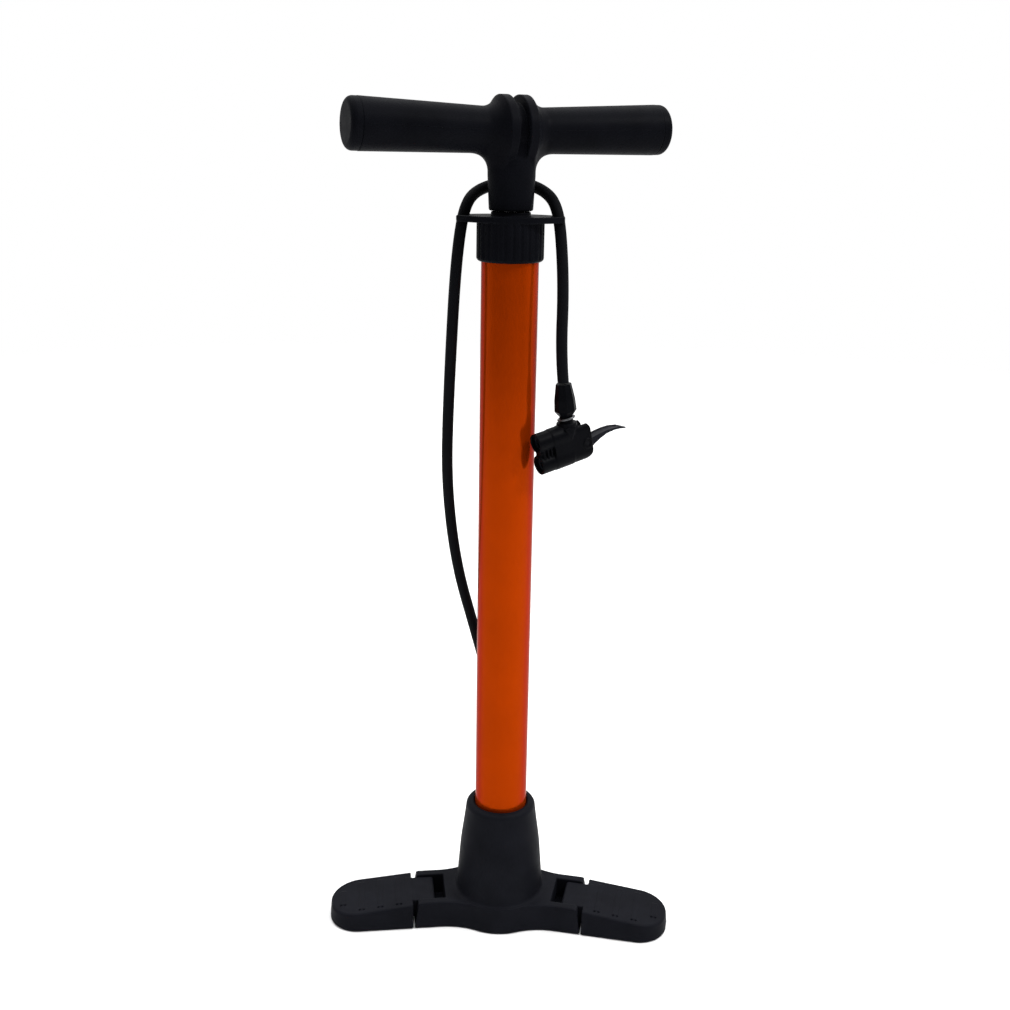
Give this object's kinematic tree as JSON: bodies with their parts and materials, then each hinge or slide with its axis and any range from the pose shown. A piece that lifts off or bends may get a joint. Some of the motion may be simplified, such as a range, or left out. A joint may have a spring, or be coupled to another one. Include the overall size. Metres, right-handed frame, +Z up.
{
  "type": "floor bike pump",
  "caption": "Floor bike pump: painted steel barrel, T-handle on a sliding rod, folding feet, hose clipped to the cap, and a twin-valve head with a thumb lever",
  "frame": {"origin": "on the floor, on the barrel's axis, under the middle of the pump with the handle down", "axes": "+Z up along the barrel, +X towards the right foot, front of the pump faces -Y, the hose outlet faces +Y"},
  "size_m": [0.2544, 0.1196, 0.5911],
  "materials": {
    "black_plastic": "moulded black plastic, satin",
    "handle_plastic": "moulded black plastic, fine grain",
    "chuck_plastic": "moulded black nylon, slightly glossy",
    "lever_plastic": "dark grey plastic",
    "orange_paint": "glossy orange enamel on steel tube",
    "hose_rubber": "matt black rubber hose",
    "seal_rubber": "nitrile rubber",
    "nylon": "natural nylon",
    "steel": "zinc plated steel",
    "black_steel": "black oxide steel pin",
    "rod_chrome": "chromed steel rod",
    "bright_metal": "bright plated clip",
    "brass": "turned brass"
  },
  "bodies": {
    "base": {"foot_base": "black_plastic", "barrel_tube": "orange_paint", "barrel_seal": "seal_rubber", "top_cap": "handle_plastic", "rod_guide_bush": "nylon", "left_hinge_pin": "steel", "right_hinge_pin": "steel", "outlet_fitting": "brass", "base_hose_nut": "black_plastic", "check_spring": "steel", "hose": "hose_rubber", "chuck_hose_nut": "chuck_plastic", "clip_ring": "bright_metal", "chuck_body": "chuck_plastic", "schrader_gasket": "seal_rubber", "presta_gasket": "seal_rubber", "lever_pin": "black_steel"},
    "check_valve": {"check_ball": "steel"},
    "piston": {"piston": "nylon", "piston_seal": "seal_rubber"},
    "handle": {"piston_rod": "rod_chrome", "t_handle": "handle_plastic", "left_end_cap": "handle_plastic", "right_end_cap": "handle_plastic", "rod_nut": "steel", "piston_nut": "steel", "bump_stop": "seal_rubber"},
    "left_foot": {"left_foot": "black_plastic"},
    "right_foot": {"right_foot": "black_plastic"},
    "lever": {"chuck_lever": "lever_plastic"},
    "schrader_plunger": {"schrader_plunger": "nylon"},
    "presta_plunger": {"presta_plunger": "nylon"}
  },
  "joints": [
    {"name": "handle_slide", "type": "slide", "parent": "base", "child": "piston", "axis": [0, 0, 1], "range_m": [0, 0.45]},
    {"name": "handle_turn", "type": "hinge", "parent": "piston", "child": "handle", "pos_m": [0, 0, 0.5], "axis": [0, 0, 1], "continuous": true},
    {"name": "left_foot_fold", "type": "hinge", "parent": "base", "child": "left_foot", "pos_m": [-0.0558, -0.00884, 0.0107], "axis": [-0.1564, 0.9877, 0], "range_deg": [0, 90]},
    {"name": "right_foot_fold", "type": "hinge", "parent": "base", "child": "right_foot", "pos_m": [0.0558, -0.00884, 0.0107], "axis": [-0.1564, -0.9877, 0], "range_deg": [0, 90]},
    {"name": "lever_lock", "type": "hinge", "parent": "base", "child": "lever", "pos_m": [0.05157, 0.00019, 0.36731], "axis": [0.5284, -0.849, 0], "range_deg": [0, 75]},
    {"name": "schrader_squeeze", "type": "slide", "parent": "base", "child": "schrader_plunger", "axis": [-0.8298, -0.5165, -0.2113], "range_m": [0, 0.00167]},
    {"name": "presta_squeeze", "type": "slide", "parent": "base", "child": "presta_plunger", "axis": [-0.8298, -0.5165, -0.2113], "range_m": [0, 0.00167]},
    {"name": "check_ball_lift", "type": "slide", "parent": "base", "child": "check_valve", "axis": [0, 0, 1], "range_m": [0, 0.0015], "stiffness_N_per_m": 100, "springref_m": -0.01, "deforming": ["check_spring"]}
  ],
  "couplings": [
    {"joint": "schrader_squeeze", "follows": "lever_lock", "m_per_rad": 0.001273},
    {"joint": "presta_squeeze", "follows": "lever_lock", "m_per_rad": 0.001273}
  ]
}
